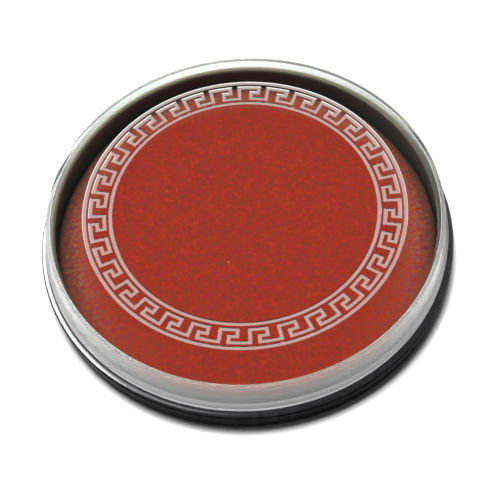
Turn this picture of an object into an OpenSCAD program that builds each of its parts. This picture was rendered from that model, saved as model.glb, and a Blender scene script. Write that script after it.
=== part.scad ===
// Flat round seal paste box: a clear lid with a key-pattern border over a black tray that holds a
// cloth-covered ink pad. The table is the plane z = 0 and the box stands on it, centred on the z axis.

/* [Base] */
// Diameter over the shoulder of the base
base_d = 90; // [80:0.5:110]
// Height of the outer skirt, from its lower edge up to the shoulder
skirt_h = 4.9; // [4.2:0.1:7]
// How far the skirt is drawn in at its lower edge
skirt_taper = 0.4; // [0.2:0.1:1.2]
// Thickness of the outer skirt
skirt_t = 1.2; // [0.9:0.1:1.5]
// Width of the shoulder that shows outside the lid
shoulder_w = 1.3; // [1.2:0.1:3]
// Thickness of the shoulder
shoulder_t = 1.4; // [1:0.1:1.8]
// Rounding of the shoulder's outer edge
shoulder_round = 1.1; // [0.4:0.1:1.2]
// Thickness of the tray's floor
floor_t = 1.4; // [1:0.1:2]
// Height of the spigot above the shoulder
spigot_h = 5.6; // [4.5:0.1:6.2]
// Thickness of the spigot at its top
spigot_t = 1.1; // [0.9:0.1:1.4]
// How much narrower the well is at the floor than at the spigot's top
well_draft = 0.2; // [0.1:0.05:0.4]
// Outer diameter of the foot ring
foot_d = 80; // [70:0.5:81]
// Width of the foot ring
foot_w = 1.8; // [1.2:0.1:4]
// Height of the foot ring below the skirt
foot_h = 0.6; // [0.4:0.1:1.2]
// Number of ribs between the skirt and the tray wall
rib_count = 24; // [12:1:36]
// Thickness of a rib
rib_t = 0.9; // [0.6:0.1:1.4]
// How far a rib stays above the skirt's lower edge
rib_inset = 1; // [0.6:0.1:1.6]

/* [Lid] */
// Height of the lid, from its lower edge to its flat top
lid_h = 9.5; // [9.2:0.1:12]
// Thickness of the lid's top plate
plate_t = 1.6; // [1.4:0.1:2]
// Thickness of the lid's side wall
lid_wall = 0.9; // [0.8:0.1:1.6]
// How much the side wall leans in from its lower edge to its top
lid_draft = 0.8; // [0.3:0.05:1]
// Height of the bead round the lid's lower edge
bead_h = 2.4; // [1.6:0.1:3]
// How far the bead stands out from the side wall
bead_out = 0.3; // [0.2:0.05:0.5]
// Radius of the lid's lower lip
lip_round = 0.4; // [0.2:0.05:0.5]
// Diameter of the flat middle of the lid's top
flat_d = 73; // [71:0.5:74]
// How far the top falls from its flat middle to its edge
crown_drop = 1; // [0.5:0.05:1]
// Rounding of the lid's upper edge
edge_round = 0.35; // [0.3:0.05:0.8]
// Radius of the fillet under the plate
inner_fillet = 0.25; // [0.2:0.05:1]
// Free space between the spigot and the lid's side wall
fit_gap = 0.3; // [0.1:0.01:0.4]

/* [Key pattern] */
// Number of key motifs round the border
key_count = 32; // [24:1:36]
// Radius of the key pattern's inner strokes
key_r = 30; // [28:0.1:30.5]
// Distance between the inner and outer strokes
key_h = 3; // [2.6:0.1:3.4]
// Length of a motif's outer stroke, as a share of one repeat
key_span = 0.69; // [0.64:0.01:0.74]
// How far a motif's inner stroke runs into the next repeat, as a share of one repeat
key_reach = 0.27; // [0.22:0.01:0.32]
// Height of the hook's inner turn, as a share of the key's height
key_turn = 0.52; // [0.48:0.01:0.56]
// Width of every stroke and ring line
stroke_w = 0.85; // [0.7:0.05:1]
// Distance from the key pattern's strokes to the ring lines beside them
ring_gap = 1.3; // [1.26:0.02:1.5]
// Depth of the strokes in the lid's top
stroke_depth = 0.2; // [0.15:0.05:0.5]

/* [Ink pad] */
// Height of the pad's crown above the tray's floor
pad_h = 5; // [4.4:0.1:5.6]
// How far the pad's surface falls from its middle to its edge
pad_crown = 0.6; // [0.3:0.05:0.8]
// Rounding of the pad's edge
pad_edge = 1; // [0.8:0.05:1.3]
// Free space between the pad and the wall of the well
pad_gap = 0.25; // [0.15:0.05:0.4]
// Thickness of the cover cloth
cloth_t = 0.4; // [0.3:0.05:0.5]
// Width of the cloth's hem under the backing board
hem_w = 6; // [4:0.5:10]
// Space between the hem and the adhesive disc
hem_gap = 1; // [0.5:0.1:3]
// Thickness of the felt under the cloth
felt_t = 0.7; // [0.6:0.05:0.9]
// Thickness of the backing board
board_t = 0.8; // [0.6:0.05:1.2]
// Free space between the pad's layers
layer_gap = 0.1; // [0.05:0.01:0.15]

/* [Hidden] */
$fn = 144;

// Steps in the rounded corners and in the long, shallow curves
corner_steps = 6;
crown_steps = 12;
// Smallest bevel on edges that guide the lid
lead_in = 0.35;

// Heights
z_skirt = foot_h;
z_floor = foot_h + floor_t;
z_shoulder = foot_h + skirt_h;
z_spigot = z_shoulder + spigot_h;
z_top = z_shoulder + lid_h;
z_plate = z_top - plate_t;
z_bead = z_shoulder + bead_h;
z_hem = z_floor + cloth_t;
z_sponge = z_hem + board_t;
z_pad = z_floor + pad_h;

// Radii of the base
r_base = base_d / 2;
r_skirt_foot = r_base - skirt_taper;
r_foot = foot_d / 2;
r_bead = r_base - shoulder_w;
r_lid = r_bead - bead_out;

// Radii that lean with the lid's draft, at a height z
function lid_out(z) = r_lid - lid_draft * (z - z_shoulder) / lid_h;
function lid_in(z) = lid_out(z) - lid_wall;
function spigot_out(z) = lid_in(z) - fit_gap;
r_spigot = spigot_out(z_shoulder);
r_well_top = spigot_out(z_spigot) - spigot_t;
r_well = r_well_top - well_draft;

// Radii of the pad's layers
r_pad = r_well - pad_gap;
r_core = r_pad - cloth_t - layer_gap;
r_hem = r_pad - hem_w;
r_adhesive = r_hem - hem_gap;

// Points on an arc, from angle a0 to angle a1
function arc(cx, cy, r, a0, a1, steps = corner_steps) =
    [for (i = [0 : steps]) let (a = a0 + (a1 - a0) * i / steps) [cx + r * cos(a), cy + r * sin(a)]];

// Height at radius r of a pad surface whose middle is at height top
function crown_z(r, top) = top - pad_crown * pow(r / r_pad, 2);

// Points along a pad surface, from the axis out to radius r
function crown_line(r, top) =
    [for (i = [0 : crown_steps]) let (x = r * i / crown_steps) [x, crown_z(x, top)]];

// Upper outline of a pad layer: its crown, then a rounded edge that turns down to the side
function layer_top(r, top, edge) =
    concat(crown_line(r - edge, top), arc(r - edge, crown_z(r - edge, top) - edge, edge, 80, 0));

// A list in reverse order
function backwards(list) = [for (i = [len(list) - 1 : -1 : 0]) list[i]];

// Black moulded tray: floor, foot ring, well, spigot for the lid, shoulder and outer skirt
module base_tray() {
    z_under = z_shoulder - shoulder_t;
    color("#1c1d20") {
        rotate_extrude() polygon(concat(
            [[0, z_skirt], [r_foot - foot_w, z_skirt], [r_foot - foot_w, 0], [r_foot, 0], [r_foot, z_skirt]],
            [[r_spigot, z_skirt], [r_spigot, z_under], [r_base - skirt_t, z_under]],
            [[r_skirt_foot - skirt_t, z_skirt], [r_skirt_foot, z_skirt]],
            arc(r_base - shoulder_round, z_shoulder - shoulder_round, shoulder_round, 0, 90),
            [[r_spigot, z_shoulder]],
            [[spigot_out(z_spigot - lead_in), z_spigot - lead_in]],
            [[spigot_out(z_spigot) - lead_in, z_spigot], [r_well_top + lead_in, z_spigot]],
            [[r_well_top, z_spigot - lead_in], [r_well, z_floor], [0, z_floor]]
        ));
        for (i = [0 : rib_count - 1])
            rotate(360 * i / rib_count) skirt_rib(z_under);
    }
}

// One radial rib in the channel under the shoulder, rooted in the tray wall and the skirt
module skirt_rib(z_under) {
    r0 = r_spigot - 0.5 * spigot_t;
    r1 = r_skirt_foot - 0.6 * skirt_t;
    z0 = z_skirt + rib_inset;
    translate([r0, -rib_t / 2, z0])
        cube([r1 - r0, rib_t, z_under + 0.5 * shoulder_t - z0]);
}

// Double-sided adhesive disc that holds the pad to the floor, inside the hem
module adhesive_disc() {
    color("#d9d2bd")
        translate([0, 0, z_floor]) cylinder(h = cloth_t, r = r_adhesive);
}

// Stiff board that the cloth is drawn over
module backing_board() {
    color("#8d7f68")
        translate([0, 0, z_hem]) cylinder(h = board_t, r = r_core);
}

// Sponge that holds the red paste oil
module ink_sponge() {
    top = z_pad - cloth_t - felt_t - 2 * layer_gap;
    color("#8e2a22")
        rotate_extrude() polygon(concat(crown_line(r_core, top), [[r_core, z_sponge], [0, z_sponge]]));
}

// Felt that spreads the ink evenly under the cloth
module felt_layer() {
    top = z_pad - cloth_t - layer_gap;
    color("#9b3026")
        rotate_extrude() polygon(concat(
            layer_top(r_core, top, pad_edge - cloth_t - layer_gap),
            backwards(crown_line(r_core, top - felt_t))
        ));
}

// Red cover cloth, drawn over the edge and turned in under the board as a hem
module pad_cloth() {
    color("#a8362a")
        rotate_extrude() polygon(concat(
            layer_top(r_pad, z_pad, pad_edge),
            arc(r_pad - cloth_t, z_floor + cloth_t, cloth_t, 0, -90),
            [[r_hem, z_floor], [r_hem, z_hem], [r_pad - cloth_t, z_hem]],
            backwards(layer_top(r_pad - cloth_t, z_pad - cloth_t, pad_edge - cloth_t))
        ));
}

// Clear lid: flat plate with a softly falling edge, side wall, bead and lip
module lid() {
    color([0.86, 0.9, 0.88, 0.4])
        difference() {
            lid_shell();
            key_border();
        }
}

module lid_shell() {
    r_flat = flat_d / 2;
    r_edge = lid_out(z_top - crown_drop - edge_round);
    // The falling edge is an arc that leaves the flat top smoothly
    span = r_edge - r_flat;
    r_fall = (span * span + crown_drop * crown_drop) / (2 * crown_drop);
    z_fall = z_top - r_fall;
    // The upper rounding touches that arc and the side wall
    r_round = r_edge - edge_round;
    z_round = z_fall + sqrt(pow(r_fall - edge_round, 2) - pow(r_round - r_flat, 2));
    a_meet = atan2(z_round - z_fall, r_round - r_flat);
    rotate_extrude() polygon(concat(
        [[0, z_top]],
        arc(r_flat, z_fall, r_fall, 90, a_meet),
        arc(r_round, z_round, edge_round, a_meet - 8, 0),
        [[lid_out(z_bead), z_bead], [r_bead, z_bead - bead_out]],
        arc(r_bead - lip_round, z_shoulder + lip_round, lip_round, 0, -90),
        [[lid_in(z_shoulder) + lead_in, z_shoulder], [lid_in(z_shoulder + lead_in), z_shoulder + lead_in]],
        arc(lid_in(z_plate) - inner_fillet, z_plate - inner_fillet, inner_fillet, 0, 90),
        [[0, z_plate]]
    ));
}

// The border cut into the lid's top: the running key pattern between two ring lines
module key_border() {
    ring_line(key_r - ring_gap);
    ring_line(key_r + key_h + ring_gap);
    translate([0, 0, z_top - stroke_depth])
        linear_extrude(2 * stroke_depth) key_stroke();
}

// One plain ring line whose middle is at radius r
module ring_line(r) {
    translate([0, 0, z_top - stroke_depth])
        difference() {
            cylinder(h = 2 * stroke_depth, r = r + stroke_w / 2);
            translate([0, 0, -stroke_depth]) cylinder(h = 4 * stroke_depth, r = r - stroke_w / 2);
        }
}

// The corners of one motif along the middle of its stroke: share of the repeat, share of the height,
// then the way to the stroke's left edge along the border and outwards
KEY_PATH = [
    [0, 1, -1, 1],
    [key_span / 2, 1, 0, 1],
    [key_span, 1, 1, 1],
    [key_span, 0, 1, 1],
    [(key_span + 1 + key_reach) / 2, 0, 0, 1],
    [1 + key_reach, 0, -1, 1],
    [1 + key_reach, key_turn, -1, -1],
    [1, key_turn, -1, -1]
];

// One edge of the running stroke, all the way round; side is 1 for the left edge, -1 for the right
function key_edge(side) = [
    for (i = [0 : key_count - 1]) for (p = KEY_PATH)
        let (
            mid = key_r + p[1] * key_h,
            r = mid + side * p[3] * stroke_w / 2,
            a = (i + p[0]) * 360 / key_count + side * p[2] * stroke_w / 2 / mid * 180 / PI
        )
        [r * cos(a), r * sin(a)]
];

// The running stroke as a flat ring between its two edges
module key_stroke() {
    difference() {
        polygon(key_edge(1));
        polygon(key_edge(-1));
    }
}

base_tray();
adhesive_disc();
backing_board();
ink_sponge();
felt_layer();
pad_cloth();
lid();
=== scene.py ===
# %% [markdown]
# # A seal paste box under a clear lid
# This lesson dresses a working model of a round seal paste box. The model gives every piece its size,
# its place and its motion. Here each piece gets the form and the finish that the eye expects: moulded
# black plastic, inked cloth over felt and sponge, and a clear lid with a key-pattern border.

# %% Load the working model
import math

import bmesh
import bpy
from mathutils import Matrix, Quaternion, Vector, noise


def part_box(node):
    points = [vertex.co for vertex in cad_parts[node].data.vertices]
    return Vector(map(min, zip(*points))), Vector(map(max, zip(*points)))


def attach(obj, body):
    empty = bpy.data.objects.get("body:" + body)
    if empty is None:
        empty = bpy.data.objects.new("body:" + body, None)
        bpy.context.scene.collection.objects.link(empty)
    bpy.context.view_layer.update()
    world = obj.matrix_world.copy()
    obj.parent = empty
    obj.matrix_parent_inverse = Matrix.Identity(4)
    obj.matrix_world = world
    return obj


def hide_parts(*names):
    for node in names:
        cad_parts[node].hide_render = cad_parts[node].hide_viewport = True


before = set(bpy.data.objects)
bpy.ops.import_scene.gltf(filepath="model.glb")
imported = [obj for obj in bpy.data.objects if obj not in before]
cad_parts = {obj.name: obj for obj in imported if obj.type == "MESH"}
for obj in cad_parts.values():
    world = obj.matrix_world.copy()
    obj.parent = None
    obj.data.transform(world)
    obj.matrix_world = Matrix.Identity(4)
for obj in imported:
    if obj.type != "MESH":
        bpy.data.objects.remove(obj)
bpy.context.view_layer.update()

print("nodes:", sorted(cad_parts))

# %% [markdown]
# ## Sizes come from the model
# A dressed piece must lie where the working piece lies, so its main sizes are read from the model's
# boxes. Blender works in metres, and small objects are easier to think of in millimetres, so a value
# in millimetres is written as a number times MM.

# %% Read the main sizes
MM = 0.001


def outer_radius(node):
    """Largest radius of one of the model's round pieces."""
    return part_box(node)[1].x


def bottom(node):
    """Height of a piece's underside in the model."""
    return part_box(node)[0].z


def top(node):
    """Height of a piece's top in the model."""
    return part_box(node)[1].z


BASE_R = outer_radius("base_tray")
SPIGOT_TOP = top("base_tray")
BEAD_R = outer_radius("lid")
SHOULDER_Z = bottom("lid")
LID_TOP = top("lid")
FLOOR_Z = bottom("pad_cloth")
PAD_R = outer_radius("pad_cloth")
PAD_TOP = top("pad_cloth")
print(f"base radius {BASE_R / MM:.2f}, lid top {LID_TOP / MM:.2f}, pad top {PAD_TOP / MM:.2f} mm")

# %% [markdown]
# ## The camera
# A photograph has one camera, and it can be found again: the border repeats 32 times, so the picture
# was unrolled along trial ellipses until all the repeats lay on top of each other. That gave the
# height, the heading, the small roll and the point that the lens looks at. The camera is placed from
# those facts, as a photographer would say them, and not from a matrix of numbers.

# %% Place the camera
LENS = 108
SENSOR = 36
AIM = Vector((0.115 * MM, -10.822 * MM, LID_TOP))
CAMERA_DISTANCE = 313.634 * MM
CAMERA_ELEVATION = math.radians(56.503)
CAMERA_HEADING = math.radians(1.908)
CAMERA_ROLL = math.radians(-4.508)


def make_camera():
    """A camera at the photograph's height, heading and roll, aimed at a point on the lid's top."""
    level = math.cos(CAMERA_ELEVATION)
    back = Vector((
        -level * math.sin(CAMERA_HEADING),
        -level * math.cos(CAMERA_HEADING),
        math.sin(CAMERA_ELEVATION),
    ))
    data = bpy.data.cameras.new("camera")
    data.lens = LENS
    data.sensor_width = SENSOR
    data.clip_start = 0.01
    data.clip_end = 20
    camera = bpy.data.objects.new("camera", data)
    bpy.context.scene.collection.objects.link(camera)
    camera.rotation_mode = "QUATERNION"
    camera.location = AIM + back * CAMERA_DISTANCE
    upright = (-back).to_track_quat("-Z", "Y")
    camera.rotation_quaternion = upright @ Quaternion((0, 0, 1), CAMERA_ROLL)
    bpy.context.scene.camera = camera
    return camera


make_camera()
print("camera", round(CAMERA_DISTANCE / MM), "mm from the lid")

# %% [markdown]
# ## The floor
# The box stands on plain white, bright enough to lose its own edge, and the only shadow is the narrow
# one beside it. A curved backdrop would do as well, but from this height a large flat plane looks the
# same and takes the same shadow.

# %% Make the floor
FLOOR_HALF = 3


def make_floor():
    """The plain white floor, which is part of the studio and not of the box."""
    mesh = bpy.data.meshes.new("floor")
    half = FLOOR_HALF
    corners = [(-half, -half, 0), (half, -half, 0), (half, half, 0), (-half, half, 0)]
    mesh.from_pydata(corners, [], [(0, 1, 2, 3)])
    floor = bpy.data.objects.new("floor", mesh)
    bpy.context.scene.collection.objects.link(floor)
    material = bpy.data.materials.new("pale_floor")
    material.use_nodes = True
    shader = material.node_tree.nodes["Principled BSDF"]
    shader.inputs["Base Color"].default_value = (0.9, 0.9, 0.9, 1)
    shader.inputs["Roughness"].default_value = 0.9
    shader.inputs["Specular IOR Level"].default_value = 0.1
    mesh.materials.append(material)


make_floor()
print("the floor is", 2 * FLOOR_HALF, "m across")

# %% [markdown]
# ## The sky
# Soft light comes from all round, as in a tent of white cloth. It is bright low down at the back, where
# the clear rim needs something to show, and dim overhead, because the flat lid mirrors that part
# straight into the camera and would hide the red pad. Soft rays see less than half of this sky, so the
# shadow stays dark. One shader on the world does all this, and no picture of a studio is needed.

# %% Make the sky
SKY_BACK = 1.3
SKY_RIGHT = 0.75
SKY_FRONT = 0.2
SKY_HIGH = 0.05
SKY_TURNS = (0.35, 0.85)
SKY_REACHES = (-0.6, 0.4)
SKY_FADES = (0.42, 0.72)
SKY_FILL = 0.45


def map_sky(nodes, links, value, low, high, to_low, to_high):
    """One number mapped to another, where each end is a number or a socket."""
    mapped = nodes.new("ShaderNodeMapRange")
    ends = {"Value": value, "From Min": low, "From Max": high, "To Min": to_low, "To Max": to_high}
    for label, end in ends.items():
        if isinstance(end, bpy.types.NodeSocket):
            links.new(end, mapped.inputs[label])
        else:
            mapped.inputs[label].default_value = end
    return mapped.outputs["Result"]


def make_sky():
    """Light from all round: bright low at the back, dim overhead, weaker still for soft rays."""
    world = bpy.data.worlds.new("studio")
    bpy.context.scene.world = world
    world.use_nodes = True
    nodes, links = world.node_tree.nodes, world.node_tree.links
    way = nodes.new("ShaderNodeTexCoord")
    parts = nodes.new("ShaderNodeSeparateXYZ")
    links.new(way.outputs["Generated"], parts.inputs["Vector"])
    shade = map_sky(nodes, links, parts.outputs["X"], *SKY_TURNS, SKY_BACK, SKY_RIGHT)
    low_sky = map_sky(nodes, links, parts.outputs["Y"], *SKY_REACHES, SKY_FRONT, shade)
    strength = map_sky(nodes, links, parts.outputs["Z"], *SKY_FADES, low_sky, SKY_HIGH)
    ray = nodes.new("ShaderNodeLightPath")
    share = map_sky(nodes, links, ray.outputs["Is Diffuse Ray"], 0.0, 1.0, 1.0, SKY_FILL)
    dimmed = nodes.new("ShaderNodeMath")
    dimmed.operation = "MULTIPLY"
    links.new(strength, dimmed.inputs[0])
    links.new(share, dimmed.inputs[1])
    links.new(dimmed.outputs[0], nodes["Background"].inputs["Strength"])
    nodes["Background"].inputs["Color"].default_value = (1, 1, 1, 1)


make_sky()
print(f"the sky runs from {SKY_HIGH} overhead to {SKY_BACK} low at the back")

# %% [markdown]
# ## The lamps
# The key lamp lights the pad from above without being mirrored, as a photographer would flag it from
# the lid. Two wide lamps at the left draw the white streak and the grey beside it on the shoulder. None
# of the three shows through the clear plastic. The standard view keeps white and red as they are mixed.

# %% Make the lamps


def make_lamp(name, heading, elevation, distance, width, height, power):
    """A soft box that faces the pad. Heading is measured like a clock's hand from the back."""
    heading, elevation = math.radians(heading), math.radians(elevation)
    data = bpy.data.lights.new(name, "AREA")
    data.shape = "RECTANGLE"
    data.size = width
    data.size_y = height
    data.energy = power
    lamp = bpy.data.objects.new(name, data)
    bpy.context.scene.collection.objects.link(lamp)
    lamp.location = distance * Vector((
        math.sin(heading) * math.cos(elevation),
        math.cos(heading) * math.cos(elevation),
        math.sin(elevation),
    ))
    aim = Vector((0, 0, LID_TOP)) - lamp.location
    lamp.rotation_euler = aim.to_track_quat("-Z", "Y").to_euler()
    return lamp


key_box = make_lamp(
    "key_box", heading=-22, elevation=76, distance=1.0, width=0.5, height=0.5, power=19,
)
key_box.visible_glossy = False
streak_box = make_lamp(
    "streak_box", heading=-55, elevation=27, distance=0.9, width=2.6, height=1.0, power=520,
)
side_box = make_lamp(
    "side_box", heading=-106, elevation=60, distance=0.9, width=0.7, height=0.5, power=15,
)
for lamp in (streak_box, side_box):
    lamp.visible_diffuse = False
for lamp in (key_box, streak_box, side_box):
    lamp.visible_transmission = False
bpy.context.scene.view_settings.view_transform = "Standard"
print("lamps:", [lamp.name for lamp in (key_box, streak_box, side_box)])

# %% [markdown]
# ## Turned forms
# The base, the lid and the pad are all round, so each is an outline turned about the z axis. An
# outline is a list of (radius, height) points, and its rounded corners are arcs. Edges where the
# outline turns sharply are marked sharp, and all others are shaded smooth. 384 steps round make
# twelve for each of the 32 motifs of the border, so that the border fits the turned form exactly.

# %% Helpers for turned forms
MOTIFS = 32
STEPS = 12 * MOTIFS
SHARP = math.radians(28)
ON_AXIS = 1e-7


def arc(centre_r, centre_z, radius, start, end, steps=8):
    """Points on an arc in the outline's plane, from the angle start to the angle end in degrees."""
    points = []
    for i in range(steps + 1):
        angle = math.radians(start + (end - start) * i / steps)
        points.append((centre_r + radius * math.cos(angle), centre_z + radius * math.sin(angle)))
    return points


def ring(bm, radius, z, steps=STEPS):
    """One circle of points, or a single point on the axis."""
    if radius < ON_AXIS:
        return [bm.verts.new((0, 0, z))]
    made = []
    for i in range(steps):
        angle = 2 * math.pi * i / steps
        made.append(bm.verts.new((radius * math.cos(angle), radius * math.sin(angle), z)))
    return made


def bridge(bm, a, b, finish=0):
    """Faces between two circles of points, or between a circle and a point on the axis."""
    count = max(len(a), len(b))
    for i in range(count):
        j = (i + 1) % count
        if len(a) == 1:
            corners = (a[0], b[j], b[i])
        elif len(b) == 1:
            corners = (a[i], a[j], b[0])
        else:
            corners = (a[i], a[j], b[j], b[i])
        bm.faces.new(corners).material_index = finish


def as_object(name, bm):
    """Shades the mesh smooth, with sharp edges where it turns sharply, and makes the object."""
    bm.normal_update()
    bmesh.ops.recalc_face_normals(bm, faces=bm.faces)
    for face in bm.faces:
        face.smooth = True
    for edge in bm.edges:
        if len(edge.link_faces) != 2 or edge.calc_face_angle() > SHARP:
            edge.smooth = False
    mesh = bpy.data.meshes.new(name)
    bm.to_mesh(mesh)
    bm.free()
    made = bpy.data.objects.new(name, mesh)
    bpy.context.scene.collection.objects.link(made)
    return made


def turned(name, outline, steps=STEPS, finishes=None):
    """Turns a closed outline about the z axis. finishes gives each stretch its material's number."""
    bm = bmesh.new()
    rings = [ring(bm, r, z, steps) for r, z in outline]
    for i in range(len(rings)):
        a, b = rings[i], rings[(i + 1) % len(rings)]
        if len(a) > 1 or len(b) > 1:
            bridge(bm, a, b, finishes[i] if finishes else 0)
    return as_object(name, bm)


print("steps round a turned form:", STEPS)

# %% [markdown]
# ## Finishes that several materials share
# A moulded surface is never perfectly even: it carries faint flow marks and a slightly uneven gloss.
# Soft layers are never one colour: their fibres take up ink unevenly. Both effects are needed more
# than once, so each is a node group with named inputs. A group gives out only values and normals, and
# every material keeps its own shader.

# %% Helpers for node groups and materials


def new_group(name, inputs, outputs):
    """An empty shader group. inputs maps each name to its default, outputs lists (name, socket type)."""
    group = bpy.data.node_groups.new(name, "ShaderNodeTree")
    for label, value in inputs.items():
        socket = group.interface.new_socket(label, in_out="INPUT", socket_type="NodeSocketFloat")
        socket.default_value = value
    for label, kind in outputs:
        group.interface.new_socket(label, in_out="OUTPUT", socket_type=kind)
    return group, group.nodes.new("NodeGroupInput"), group.nodes.new("NodeGroupOutput")


def add(tree, kind, values=None, **settings):
    """A new node, with its settings, and with its inputs set to values or linked to sockets."""
    made = tree.nodes.new(kind)
    for label, value in settings.items():
        setattr(made, label, value)
    for label, value in (values or {}).items():
        if isinstance(value, bpy.types.NodeSocket):
            tree.links.new(value, made.inputs[label])
        else:
            made.inputs[label].default_value = value
    return made


def maths(tree, operation, a, b):
    """One sum, product or other operation on two values."""
    return add(tree, "ShaderNodeMath", {0: a, 1: b}, operation=operation).outputs[0]


def spread(tree, value, low, high, to_low, to_high):
    """Maps low..high to to_low..to_high and keeps the result between them."""
    mapped = add(tree, "ShaderNodeMapRange", {
        "Value": value, "From Min": low, "From Max": high, "To Min": to_low, "To Max": to_high,
    })
    return mapped.outputs["Result"]


def blend_colours(tree, factor, a, b):
    """A mix of two colours, each a plain colour or a socket."""
    mix = add(tree, "ShaderNodeMix", {"Factor": factor}, data_type="RGBA")
    for place, colour in ((6, a), (7, b)):
        if isinstance(colour, bpy.types.NodeSocket):
            tree.links.new(colour, mix.inputs[place])
        else:
            mix.inputs[place].default_value = (*colour, 1)
    return mix.outputs[2]


def new_material(name, **plain):
    """A material with one Principled shader, whose named sockets take plain values."""
    material = bpy.data.materials.new(name)
    material.use_nodes = True
    shader = material.node_tree.nodes["Principled BSDF"]
    for label, value in plain.items():
        shader.inputs[label.replace("_", " ")].default_value = value
    return material, material.node_tree, shader


def place_group(tree, group, **values):
    """A group set into a material, with this material's own values."""
    made = tree.nodes.new("ShaderNodeGroup")
    made.node_tree = group
    for label, value in values.items():
        made.inputs[label.replace("_", " ")].default_value = value
    return made


print("helpers for groups and materials are ready")

# %% [markdown]
# ### Where a finish changes
# A finish often changes from the middle to the rim, as the ink does, or from one side to the other. A
# painted mask could say where, but the box is round and plain, so one number for each point is enough:
# its distance from the axis, or its distance along a direction.

# %% Helpers that say where a finish changes


def distance_from_axis(tree, place):
    """How far a point lies from the z axis, for finishes that change from the middle to the rim."""
    flat = add(tree, "ShaderNodeVectorMath", {0: place, 1: (1.0, 1.0, 0.0)}, operation="MULTIPLY")
    length = add(tree, "ShaderNodeVectorMath", {0: flat.outputs["Vector"]}, operation="LENGTH")
    return length.outputs["Value"]


def way_along(tree, place, direction):
    """How far a point lies along a direction, for finishes that change from side to side."""
    along = add(tree, "ShaderNodeVectorMath", {0: place, 1: direction}, operation="DOT_PRODUCT")
    return along.outputs["Value"]


print("helpers for places are ready")

# %% [markdown]
# ### Moulded surface
# Plastic cools unevenly in its mould, so a mirror-like wall still ripples a little and its gloss
# varies in soft clouds. Rubbing adds a finer unevenness. Low, wide ripples bend reflections gently,
# which shows more than their tiny height suggests.

# %% Make the moulded surface group


def make_moulded():
    """The cloudy gloss and the low ripples of moulded plastic."""
    group, given, result = new_group(
        "moulded_surface",
        {"Gloss": 0.2, "Unevenness": 0.05, "Ripple Size": 90.0, "Ripple Height": 0.02 * MM},
        [("Roughness", "NodeSocketFloat"), ("Normal", "NodeSocketVector")],
    )
    place = add(group, "ShaderNodeTexCoord").outputs["Object"]
    clouds = add(group, "ShaderNodeTexNoise", {
        "Vector": place, "Scale": given.outputs["Ripple Size"], "Detail": 2.0,
    }).outputs["Fac"]
    rubs = add(group, "ShaderNodeTexNoise", {"Vector": place, "Scale": 2600.0, "Detail": 3.0}).outputs["Fac"]
    uneven = maths(group, "ADD", maths(group, "SUBTRACT", clouds, 0.5), maths(group, "SUBTRACT", rubs, 0.5))
    change = maths(group, "MULTIPLY", uneven, given.outputs["Unevenness"])
    group.links.new(maths(group, "ADD", change, given.outputs["Gloss"]), result.inputs["Roughness"])
    bump = add(group, "ShaderNodeBump", {
        "Strength": 1.0, "Distance": given.outputs["Ripple Height"], "Height": clouds,
    })
    group.links.new(bump.outputs["Normal"], result.inputs["Normal"])
    return group


MOULDED = make_moulded()
print("group:", MOULDED.name)

# %% [markdown]
# ### Soaked fibres
# Ink stands thicker in some places than in others, and single fibres stand up. Three noises give the
# stains, a change of tint that doesn't follow the stains, and the fibres. The group gives a stain and a
# tint for the colour and a height for the bump.

# %% Make the soaked fibres group


def make_fibres():
    """Stains, tints and single fibres of a soft layer that is soaked with ink."""
    group, given, result = new_group(
        "soaked_fibres",
        {"Stain Size": 260.0, "Fibre Size": 4200.0},
        [("Stain", "NodeSocketFloat"), ("Tint", "NodeSocketFloat"), ("Height", "NodeSocketFloat")],
    )
    place = add(group, "ShaderNodeTexCoord").outputs["Object"]
    stains = add(group, "ShaderNodeTexNoise", {
        "Vector": place, "Scale": given.outputs["Stain Size"], "Detail": 4.0, "Roughness": 0.62,
    })
    moved = add(group, "ShaderNodeMapping", {"Vector": place, "Location": (0.37, 0.11, 0.05)})
    tints = add(group, "ShaderNodeTexNoise", {
        "Vector": moved.outputs["Vector"], "Scale": given.outputs["Stain Size"], "Detail": 3.0,
    })
    fibres = add(group, "ShaderNodeTexNoise", {
        "Vector": place, "Scale": given.outputs["Fibre Size"], "Detail": 3.0, "Distortion": 0.6,
    })
    group.links.new(stains.outputs["Fac"], result.inputs["Stain"])
    group.links.new(tints.outputs["Fac"], result.inputs["Tint"])
    group.links.new(fibres.outputs["Fac"], result.inputs["Height"])
    return group


FIBRES = make_fibres()
print("group:", FIBRES.name)

# %% [markdown]
# ### Fine specks
# Small light specks of dust and lint lie on the plastic and on the cloth. A cell texture gives one
# dot in each cell, and a random number for the cell leaves most of the dots out.

# %% Make the specks group


def make_specks():
    """A mask of small dots, one to a cell, of which chance keeps a few."""
    group, given, result = new_group(
        "fine_specks",
        {"Cells": 500.0, "Share": 0.2, "Dot": 0.12},
        [("Mask", "NodeSocketFloat")],
    )
    place = add(group, "ShaderNodeTexCoord").outputs["Object"]
    cells = add(group, "ShaderNodeTexVoronoi", {"Vector": place, "Scale": given.outputs["Cells"]})
    chance = add(group, "ShaderNodeSeparateColor", {"Color": cells.outputs["Color"]}).outputs[0]
    chosen = maths(group, "LESS_THAN", chance, given.outputs["Share"])
    dots = maths(group, "LESS_THAN", cells.outputs["Distance"], given.outputs["Dot"])
    group.links.new(maths(group, "MULTIPLY", chosen, dots), result.inputs["Mask"])
    return group


SPECKS = make_specks()
print("group:", SPECKS.name)

# %% [markdown]
# ## The base
# The base is one glossy black moulding: a thin skirt, a rounded shoulder that shows round the lid, and
# a spigot that the lid slides over and that is also the wall of the pad's well. It could be sculpted,
# but a turned outline keeps every radius true. The shoulder's rounding has many steps, because it
# mirrors a long lamp and any corner would show in that streak.

# %% Outline the base
LID_H = LID_TOP - SHOULDER_Z
BEAD_OUT = 0.3 * MM
WALL_T = 0.9 * MM
DRAFT = 0.8 * MM
FIT_GAP = 0.3 * MM


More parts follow.
